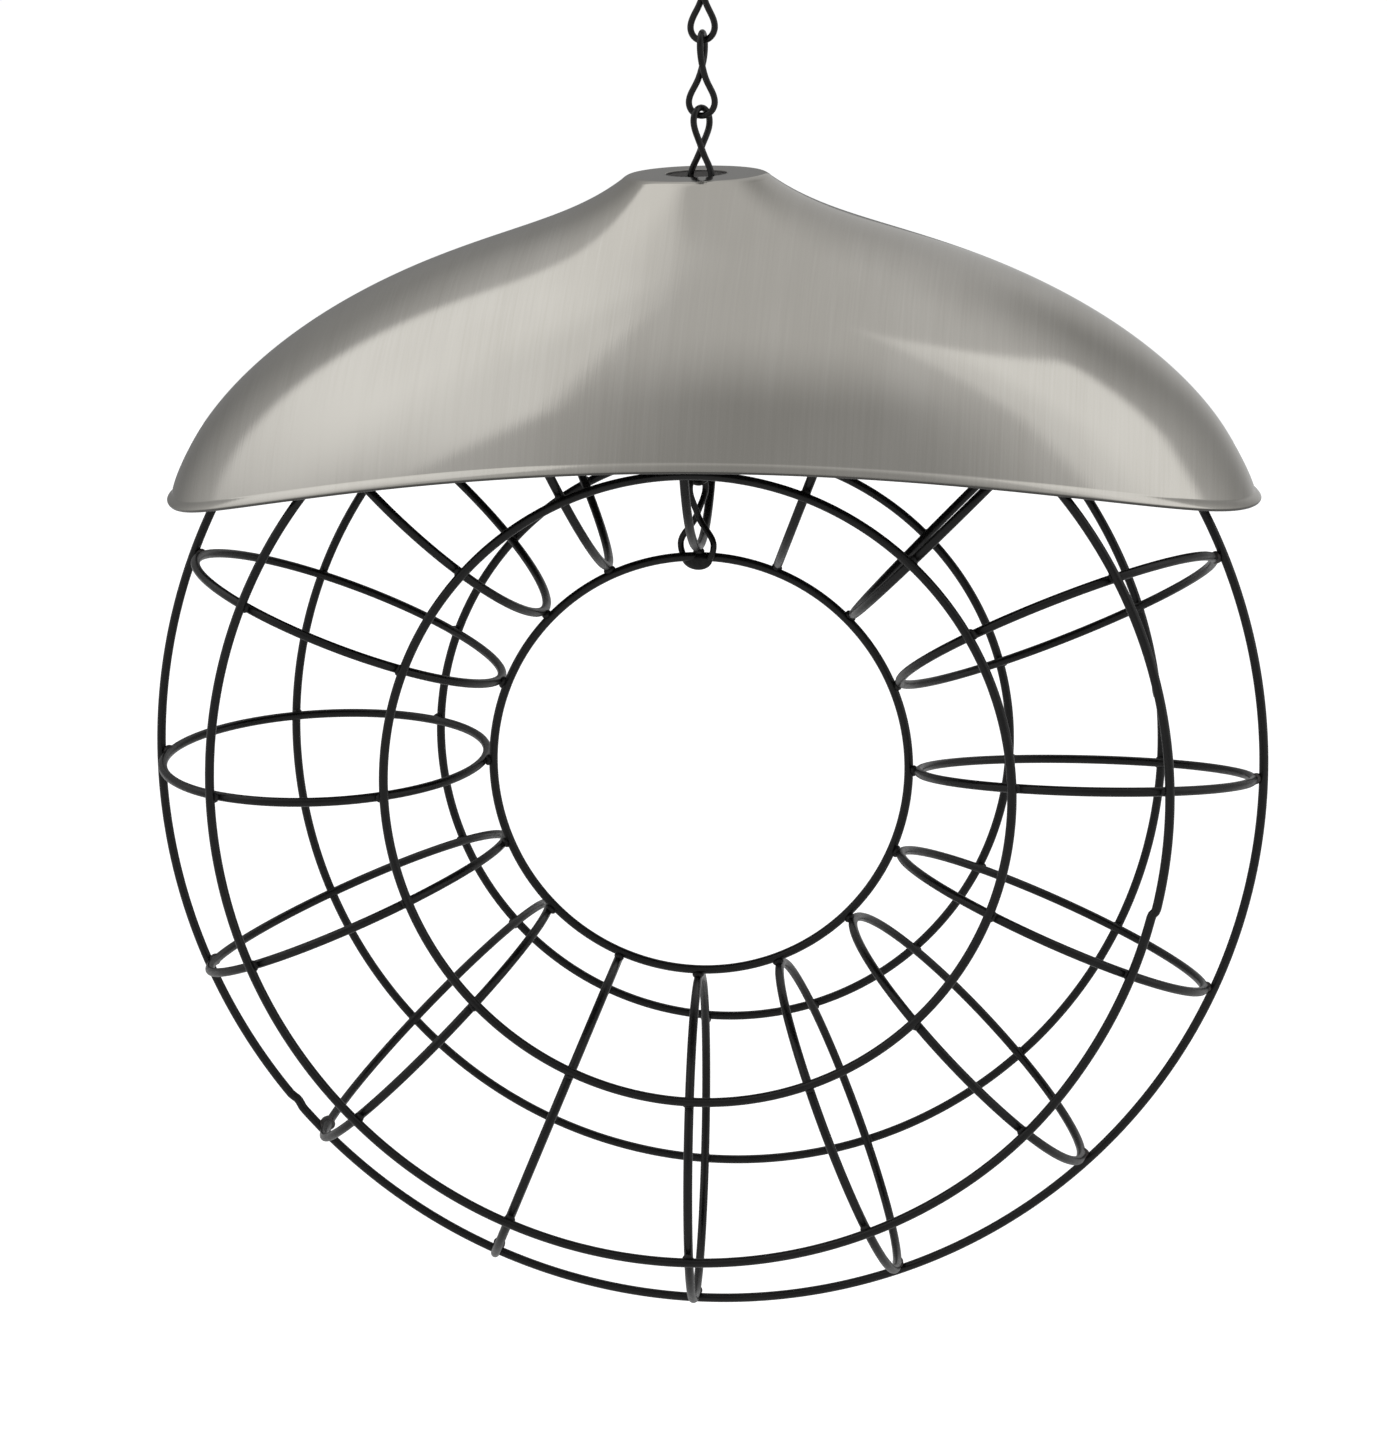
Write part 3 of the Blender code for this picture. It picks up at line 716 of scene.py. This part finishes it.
def bead_grids(name):
    """A bead at each crossing of this ring: a ball in the directions of the ring, the hoop and
    the gap between them. Its size waves by 0.10 sin(2u + phase) cos v and by
    0.07 sin(3u - 1.7 phase + 2v) cos v. On the outer ring the bead sits over the hoop's end,
    and one of them is a big lump."""
    angle, drift, drift_turn = RINGS[name]
    at_ends = name == OUTER_RING
    hoops = [i for i in range(HOOP_COUNT) if not (i == MOUTH_HOOP and at_ends)]
    meets = weld_turns(name)[hoops]
    at = angle - drift * np.cos(meets - drift_turn)
    on_ring = ring_path(name, meets)
    on_hoop = np.array([hoop_path(i, np.array([a]))[0] for i, a in zip(hoops, at)])
    gap = unit(on_ring - on_hoop)
    beside = unit(ring_path(name, meets + NEARBY_TURN) - on_ring)
    along = np.cross(gap, beside)
    centre = on_hoop + (END_BEAD_SEAT if at_ends else BEAD_SEAT) * (on_ring - on_hoop)
    u, v = ball_angles(BEAD_COLUMNS, BEAD_ROWS, BEAD_POLE)
    phase = (np.array(hoops) * HOOP_PHASE + angle * RING_PHASE)[:, None, None]
    wave = 1 + BEAD_WAVES[0] * np.sin(2 * u + phase) * np.cos(v)
    wave = wave + BEAD_WAVES[1] * np.sin(3 * u - 1.7 * phase + 2 * v) * np.cos(v)
    if at_ends:
        wave = wave * np.where(np.array(hoops) == LUMP_HOOP, LUMP_SCALE, 1.0)[:, None, None]
    sizes = [wave * size for size in (END_BEAD_SIZE if at_ends else BEAD_SIZE)]
    directions = [each[:, None, None, :] for each in (beside, along, gap)]
    return ball_grid(centre[:, None, None, :], sizes, directions, u, v)


print("beads on the outer ring:", len(bead_grids(OUTER_RING)))

# %% Beads at all crossings
bead_count = 0
for name in RINGS:
    metal = BARE_WELD if name == OUTER_RING else PAINTED_WELD
    for number, grid in enumerate(bead_grids(name)):
        bead = grid_piece(f"{name}_weld_{number + 1:02d}", grid, False, True, metal, cap_ends=True)
        hand_over(bead, "feeder", "cage")
        bead_count += 1
print("beads:", bead_count)

# %% [markdown]
# ## Chain
# Each link is one wire bent into a figure eight: two strands run side by side, open into a
# loop at each end, and turn past each other in the middle, so the next link stands square to it.
# A link could be drawn as a curve by hand. A formula keeps both loops round and the strands
# just apart, and the same one draws the longer lowest link.

# %% Chain sizes
CHAIN_WIRE = 1.7 * MM
LINK_HALF_LENGTH = 10.5 * MM
LINK_HALF_WIDTH = 3.4 * MM
LINK_PLANE = math.radians(-30.0)
LINK_TURN_LENGTH = 2.1 * MM
LINK_TURNS = np.radians([0.0, 0.0, 0.0, 0.0, 0.0, 0.0, 27.0, 14.0, 0.0, 0.0, 0.0, 0.0])
LINK_COUNT = len(LINK_TURNS)
LINK_POINTS = 120
LINK_SIDES = 14
CONNECTOR_LENGTH = 13.4 * MM
CONNECTOR_HALF_WIDTH = 5.5 * MM
CONNECTOR_LOW_END = INNER_RADIUS - CAGE_WIRE / 2 - SEAT_GAP - CHAIN_WIRE / 2
CONNECTOR_CROSSING = CONNECTOR_LOW_END + CONNECTOR_LENGTH
LINK_PITCH = 2 * LINK_HALF_LENGTH - CHAIN_WIRE - SEAT_GAP
SWINGING_LINKS = {LINK_COUNT - 1: "top_link", LINK_COUNT - 2: "second_link"}
loop_across = np.array([math.cos(LINK_PLANE), math.sin(LINK_PLANE), 0.0])
loop_square = np.array([-math.sin(LINK_PLANE), math.cos(LINK_PLANE), 0.0])
print(f"links cross every {LINK_PITCH / MM:.1f} mm")


# %% Links
def half_width(height, length, width):
    """Half the distance between the strands at a height above the crossing. It eases from the
    waist to the loop's width by (1 - cos) / 2, then follows a half circle to the loop's end."""
    waist = (CHAIN_WIRE + SEAT_GAP) / 2
    end = length - width
    ease = (1 - np.cos(math.pi * np.clip(height / end, 0.0, 1.0))) / 2
    cap = np.sqrt(np.clip(width**2 - np.clip(height - end, 0.0, None) ** 2, 0.0, None))
    return np.where(height > end, cap, waist + (width - waist) * ease)


def link_path(crossing, turn, lower_length, lower_width):
    """The link's centre line and the direction square to its loops, phase going once round.
    The height is length cos(phase). The strands run to either side of a plane, which turns
    by a quarter times (1 + tanh) / 2 of the height as they pass the crossing."""
    phase = np.linspace(0.0, FULL_TURN, LINK_POINTS, endpoint=False) + math.pi / LINK_POINTS
    rise = np.cos(phase)
    length = np.where(rise > 0, LINK_HALF_LENGTH, lower_length)
    width = np.where(rise > 0, LINK_HALF_WIDTH, lower_width)
    side = np.sign(np.sin(phase)) * half_width(np.abs(rise) * length, length, width)
    turned = (1 + np.tanh(rise * length / LINK_TURN_LENGTH)) / 2
    plane = LINK_PLANE + turn - math.pi / 2 * turned
    height = crossing + rise * length - HANG_HEIGHT
    path = np.stack([side * np.cos(plane), side * np.sin(plane), height], axis=-1)
    square = np.stack([-np.sin(plane), np.cos(plane), 0 * plane], axis=-1)
    return path, square


for index, turn in enumerate(LINK_TURNS):
    node = f"chain_link_{index + 1:02d}"
    lower = (LINK_HALF_LENGTH, LINK_HALF_WIDTH)
    if index == 0:
        lower = (CONNECTOR_LENGTH, CONNECTOR_HALF_WIDTH)
    path, square = link_path(CONNECTOR_CROSSING + index * LINK_PITCH, turn, *lower)
    piece = wire_piece(
        f"{node}_wire", path, square, CHAIN_WIRE / 2, True, CHAIN_PAINT, sides=LINK_SIDES
    )
    hand_over(piece, SWINGING_LINKS.get(index, "feeder"), "chain", node)
print("links:", LINK_COUNT)

# %% [markdown]
# ## Weld in the lowest loop
# The lowest link goes round the inner ring and is welded to it. The weld fills the loop from
# side to side. Like a bead, it is a ball pressed flat, here with an upper half less tall than
# the lower one.

# %% Fill the lowest loop
LOOP_WELD_SIZES = np.array([CONNECTOR_HALF_WIDTH - 0.4 * MM, 1.4 * MM, 3.1 * MM])
LOOP_WELD_TOP = 0.40
LOOP_WELD_DROP = 0.5 * MM
LOOP_WELD_POLE = 1.45
LOOP_WELD_ROWS, LOOP_WELD_COLUMNS = 17, 28
u, v = ball_angles(LOOP_WELD_COLUMNS, LOOP_WELD_ROWS, LOOP_WELD_POLE)
half_across, half_thick, half_tall = LOOP_WELD_SIZES
loop_grid = ball_grid(
    (INNER_RADIUS - HANG_HEIGHT - LOOP_WELD_DROP) * UP,
    (half_across, half_thick, half_tall * np.where(v > 0, LOOP_WELD_TOP, 1.0)),
    (loop_across, loop_square, UP), u, v,
)
loop_weld = grid_piece("lowest_loop_weld", loop_grid, False, True, PAINTED_WELD, cap_ends=True)
hand_over(loop_weld, "feeder", "chain")
print(f"loop is filled over {2 * half_across / MM:.1f} mm")

# %% [markdown]
# ## Hook
# The photograph ends below the hook. A plain wire hook is the usual way to hang such a feeder:
# a closed eye for the chain, a short shank and a round crown. Its outline is two arcs and two
# joining lines in one plane, because such a hook is bent round two pins.

# %% Hook
HOOK_WIRE = 2.6 * MM
HOOK_EYE_RADIUS = 4.6 * MM
HOOK_CROWN_RADIUS = 12.0 * MM
HOOK_SHANK = 16.0 * MM
HOOK_TIP_REACH = 7.0 * MM
crown_centre = HOOK_WIRE / 2 - HOOK_CROWN_RADIUS
eye_centre = crown_centre - HOOK_EYE_RADIUS - HOOK_SHANK


def arc(centre, radius, first, last, count):
    """Points (sideways, up) on part of a circle: radius cos a and centre + radius sin a, the
    angles in degrees."""
    a = np.radians(np.linspace(first, last, count))
    return np.stack([radius * np.cos(a), centre + radius * np.sin(a)], axis=-1)


eye = arc(eye_centre, HOOK_EYE_RADIUS, 60.0, -270.0, 60)
crown = arc(crown_centre, HOOK_CROWN_RADIUS, 15.0, 180.0, 50)
share = np.linspace(0.0, 1.0, 32)[1:-1, None]
eased = np.concatenate([share * share * (3 - 2 * share), share], axis=1)
shank = eye[-1] + eased * (crown[0] - eye[-1])
tip = np.array([crown[-1, 0] - HOOK_WIRE / 2, crown_centre - HOOK_TIP_REACH])
drop = crown[-1] + np.linspace(0.0, 1.0, 9)[1:, None] * (tip - crown[-1])
outline = np.concatenate([eye, shank, crown, drop])
path = outline[:, :1] * loop_across + outline[:, 1:] * UP
hook = wire_piece("hanging_hook_wire", path, loop_square, HOOK_WIRE / 2, False, HOOK_PAINT)
hand_over(hook, "hanger", "hook", "hanging_hook")
print("hook hangs from", round(float(path[:, 2].max()), 4))

# %% [markdown]
# ## Roof
# The roof is pressed from one sheet. It starts level round the chain hole, falls away in a
# hollow flare, rounds a shoulder and ends in a steep skirt with a small turned lip. In plan it
# is a circle at the hole and an oval at the rim, and the rim is higher at the long sides.
# A sculpted or subdivided mesh would mirror its own unevenness, and a mirror shows every dent.
# A formula from the hole to the lip stays smooth, and a few named powers fit its profile.

# %% Roof sizes
ROOF_HALF_LENGTH = 143.3 * MM
ROOF_HALF_WIDTH = 74.2 * MM
ROOF_END_DROP = 84.0 * MM
ROOF_SIDE_ARCH = 22.0 * MM
ROOF_WALL = 0.6 * MM
WALL_EDGE_BULGE = 0.3 * ROOF_WALL
PLATEAU_RADIUS = 19.5 * MM
PLATEAU_EDGE_DROP = 1.2 * MM
PLATEAU_EDGE_RUN = 2.5 * MM
PLATEAU_EDGE_START = PLATEAU_RADIUS - PLATEAU_EDGE_RUN
PLATEAU_TIP = math.radians(1.56)
CHAIN_HOLE_RADIUS = 8.0 * MM
END_FLARE_SHARE, SIDE_FLARE_SHARE = 0.114, 0.188
END_FLARE_POWER, SIDE_FLARE_POWER = 9.2, 4.2
END_SHOULDER_POWER, SIDE_SHOULDER_POWER = 1.68, 1.55
END_SHOULDER_SHARE, SIDE_SHOULDER_SHARE = 0.9996, 0.951
ROOF_TIP, ROOF_ROLL, ROOF_TURN = np.radians([6.64, 1.25, 1.54])
ROOF_SPOT = np.array([-0.87, -2.68, 155.9 - HANG_HEIGHT / MM]) * MM
SECTORS = 320
FLAT_ROWS, EDGE_ROWS, SLOPE_ROWS = 9, 7, 120
print(f"roof is {2 * ROOF_HALF_LENGTH / MM:.1f} by {2 * ROOF_HALF_WIDTH / MM:.1f} mm")


# %% Roof profile
def towards_sides(at_ends, at_sides, turn):
    """A value that changes from the roof's ends to its long sides: ends + (sides - ends) sin^2."""
    return at_ends + (at_sides - at_ends) * np.sin(turn) ** 2


def drop_share(s, turn):
    """The profile from the plateau (0) to the rim (1): part flare 1 - (1 - s)^q, and the rest
    shoulder 1 - (1 - (ks)^p)^(1/p), stretched so that it ends at 1."""
    part = towards_sides(END_FLARE_SHARE, SIDE_FLARE_SHARE, turn)
    power = towards_sides(END_SHOULDER_POWER, SIDE_SHOULDER_POWER, turn)
    kept = towards_sides(END_SHOULDER_SHARE, SIDE_SHOULDER_SHARE, turn)
    flare = 1 - (1 - s) ** towards_sides(END_FLARE_POWER, SIDE_FLARE_POWER, turn)
    shoulder = 1 - (1 - (s * kept) ** power) ** (1 / power)
    shoulder = shoulder / (1 - (1 - kept**power) ** (1 / power))
    return part * flare + (1 - part) * shoulder


print("half way out, an end has fallen by", round(float(drop_share(0.5, 0.0)), 3), "of its drop")


# %% Rows from the hole to the rim
def roof_top(circle):
    """Rows round the chain hole: a level ring, tipped a little to the front, and an edge that
    falls by the square of how far it has run."""
    tipped = circle + UP * circle[:, 1:2] * math.tan(PLATEAU_TIP)
    reach = np.linspace(CHAIN_HOLE_RADIUS, PLATEAU_EDGE_START, FLAT_ROWS + 1)
    flat = reach[:-1, None, None] * tipped
    step = np.linspace(0.0, 1.0, EDGE_ROWS + 1)[:-1, None, None]
    edge = (PLATEAU_EDGE_START + PLATEAU_EDGE_RUN * step) * tipped
    return np.concatenate([flat, edge - PLATEAU_EDGE_DROP * step**2 * UP])


def roof_slope(circle, turn):
    """Rows from the plateau (s = 0) to the rim (s = 1). The plan is (1 - s) circle + s oval,
    and the height falls by the profile's share of the rim's drop."""
    rim = circle * (ROOF_HALF_LENGTH, ROOF_HALF_WIDTH, 0.0)
    rim_drop = ROOF_END_DROP - ROOF_SIDE_ARCH * np.sin(turn) ** 2
    s = (1 - np.cos(np.linspace(0.0, math.pi, SLOPE_ROWS)))[:, None] / 2
    plan = circle * PLATEAU_RADIUS * (1 - s[..., None]) + rim * s[..., None]
    height = -PLATEAU_EDGE_DROP - (rim_drop - PLATEAU_EDGE_DROP) * drop_share(s, turn)
    height = height + circle[:, 1] * PLATEAU_RADIUS * (1 - s) * math.tan(PLATEAU_TIP)
    return np.concatenate([plan[..., :2], height[..., None]], axis=-1)


print("rows to the rim:", FLAT_ROWS + EDGE_ROWS + SLOPE_ROWS)

# %% Lip and shaped ends
LIP_RUN = 1.25 * MM
LIP_LEAN_POWER = 1.5
LIP_FLARE = 2.1 * MM
LIP_ROLL = 0.7 * MM
LEFT_LIFT, RIGHT_LIFT, LIFT_POWER = 3.4 * MM, 1.2 * MM, 28
LEFT_KICK, RIGHT_KICK, KICK_POWER = 0.5 * MM, 2.0 * MM, 2
KICK_HEIGHT = 18.0 * MM
FLARE_ROWS, ROLL_ROWS = 6, 8


def roof_lip(rim, outward):
    """Rows below the rim: the lip leans out by run (1 - (1 - t)^1.5) as it falls by flare t,
    and then rolls under on a quarter circle."""
    t = np.linspace(0.0, 1.0, FLARE_ROWS + 1)[1:, None, None]
    q = np.linspace(0.0, math.pi / 2, ROLL_ROWS + 1)[1:, None, None]
    flare_lean = LIP_RUN * (1 - (1 - t) ** LIP_LEAN_POWER)
    lean = np.concatenate([flare_lean, LIP_RUN - LIP_ROLL * (1 - np.cos(q))])
    fallen = np.concatenate([LIP_FLARE * t, LIP_FLARE + LIP_ROLL * np.sin(q)])
    return rim + outward * lean - UP * fallen


def shaped_ends(skirt, circle, outward):
    """The skirt with the middle of each end lifted by lift cos^28 and pulled out by kick cos^2,
    both times the square of how low a point is: 1 at the lip, 0 from the kick's height up."""
    low = np.clip(1 - (skirt[..., 2] - skirt[-1, :, 2]) / KICK_HEIGHT, 0.0, 1.0)[..., None]
    right = (1 + circle[:, :1]) / 2
    lift = (LEFT_LIFT + (RIGHT_LIFT - LEFT_LIFT) * right) * circle[:, :1] ** LIFT_POWER
    kick = (LEFT_KICK + (RIGHT_KICK - LEFT_KICK) * right) * circle[:, :1] ** KICK_POWER
    return skirt + low**2 * (lift * UP + kick * outward)


print(f"lip leans out {LIP_RUN / MM:.2f} mm and rolls under {LIP_ROLL / MM:.1f} mm")


# %% Roof surface
def roof_skin():
    """The outer skin as rows from the hole to the lip."""
    turn = np.linspace(0.0, FULL_TURN, SECTORS, endpoint=False)
    circle = np.stack([np.cos(turn), np.sin(turn), 0 * turn], axis=1)
    outward = unit(circle * (ROOF_HALF_WIDTH, ROOF_HALF_LENGTH, 0.0))
    slope = roof_slope(circle, turn)
    skirt = np.concatenate([slope, roof_lip(slope[-1], outward)])
    return np.concatenate([roof_top(circle), shaped_ends(skirt, circle, outward)])


def roof_grid():
    """Outer skin, then the inner skin one wall inside it, run back to the hole, so that the
    section is a closed loop. Normals come from the cross product of the two differences."""
    outer = roof_skin()
    down = np.gradient(outer, axis=0)
    round_it = np.roll(outer, -1, axis=1) - np.roll(outer, 1, axis=1)
    normal = unit(np.cross(down, round_it))
    inner = (outer - ROOF_WALL * normal)[::-1]
    lip_edge = (outer[-1:] + inner[:1]) / 2 + WALL_EDGE_BULGE * unit(down[-1:])
    hole_edge = (outer[:1] + inner[-1:]) / 2 - WALL_EDGE_BULGE * unit(down[:1])
    return np.concatenate([outer, lip_edge, inner, hole_edge])


def turning(first, second, angle):
    """The matrix that turns the first axis towards the second."""
    matrix = np.eye(3)
    matrix[first, first] = matrix[second, second] = math.cos(angle)
    matrix[second, first] = math.sin(angle)
    matrix[first, second] = -math.sin(angle)
    return matrix


X, Y, Z = range(3)
roof_turning = turning(X, Y, ROOF_TURN) @ turning(X, Z, ROOF_ROLL) @ turning(Y, Z, ROOF_TIP)
roof_points = ROOF_SPOT + roof_grid() @ roof_turning.T
print("roof grid:", roof_points.shape)

# %% [markdown]
# ## Brushed sheet
# The roof is bare brushed sheet under clear lacquer: a warm grey, with fine straight lines
# across it and soft clouds where the press stretched the metal. The bottom edge of the lip is
# rougher and painted near black, and the inside is rougher and painted dark grey: both are
# painted shade. An anisotropic shader would smear its reflections along the brushing.
# Stretched noise in a faint bump does much the same, and stays with the surface in every view.

# %% Sheet metal
# Rows where the painted shade of the lip's bottom edge and of the inside set in.
LIP_BOTTOM_PLACE = (0.464, 0.470)
INSIDE_PLACE = (0.497, 0.503)
CLOUDS_IN_SHEET = 14.0
BRUSH_LINES = (1500.0, 26.0, 26.0)
WIDE_BRUSH_LINES = (160.0, 7.0, 7.0)
SPECKS_PER_METRE = 900.0
SHEET_DARK, SHEET_LIGHT = (0.525, 0.505, 0.460, 1.0), (0.605, 0.585, 0.540, 1.0)
# The lip's bottom edge is painted near black, as painted shade under the rolled lip.
LIP_SHADE_TINT, LIP_SHADE_SHARE = (0.07, 0.068, 0.065, 1.0), 0.9
# The inside is painted dark grey, as painted shade under the roof.
INSIDE_SHADE_TINT = (0.16, 0.155, 0.15, 1.0)
BRUSH_DEPTH = 0.4 * MM


def sheet_metal():
    """Brushed metal: the height is mostly noise stretched along the brush lines. The UV map's
    first number runs along the rows. It is below a half outside and above it inside, which is
    rougher and painted dark grey as painted shade. The lip's bottom edge, just before the half,
    is rougher and painted near black as painted shade."""
    material = bpy.data.materials.new("brushed_sheet")
    board = Board(material)
    coordinates = board.node("ShaderNodeTexCoord")
    spot = board.out(coordinates, "Object")
    place = board.node("ShaderNodeSeparateXYZ", {}, {"Vector": board.out(coordinates, "UV")})
    rows = board.out(place)
    inside = board.smooth(rows, *INSIDE_PLACE)
    lip_bottom = board.smooth(rows, *LIP_BOTTOM_PLACE)
    clouds = board.noise(spot, CLOUDS_IN_SHEET, 3.0, 0.5)
    brush = board.noise(board.stretched(spot, BRUSH_LINES), 1.0, 4.0, 0.65)
    wide_brush = board.noise(board.stretched(spot, WIDE_BRUSH_LINES), 1.0, 3.0, 0.6)
    specks = board.noise(spot, SPECKS_PER_METRE, 2.0, 0.5)
    wander = board.smooth(clouds * 0.6 + wide_brush * 0.2 + brush * 0.2, 0.36, 0.64)
    tint = board.blend(wander, SHEET_DARK, SHEET_LIGHT)
    # Painted shade: the lip's bottom edge is darkened almost to black.
    tint = board.blend(lip_bottom * LIP_SHADE_SHARE, tint, LIP_SHADE_TINT)
    # Painted shade: the whole inside is darkened to a dark grey.
    tint = board.blend(inside, tint, INSIDE_SHADE_TINT)
    rough = 0.06 + 0.05 * brush + 0.04 * clouds + 0.15 * lip_bottom + 0.25 * inside
    height = brush * 0.6 + wide_brush * 0.3 + specks * 0.1
    board.surface(tint, rough, height, 0.05, BRUSH_DEPTH, {"Metallic": 1.0})
    return material


roof = grid_piece("roof_shell", roof_points, True, True, sheet_metal())
hand_over(roof, "roof_cover", "roof", "roof")
print("roof faces:", len(roof.data.polygons))

# %% Sizes
dressed_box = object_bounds()
print_box("dressed feeder reaches", dressed_box)
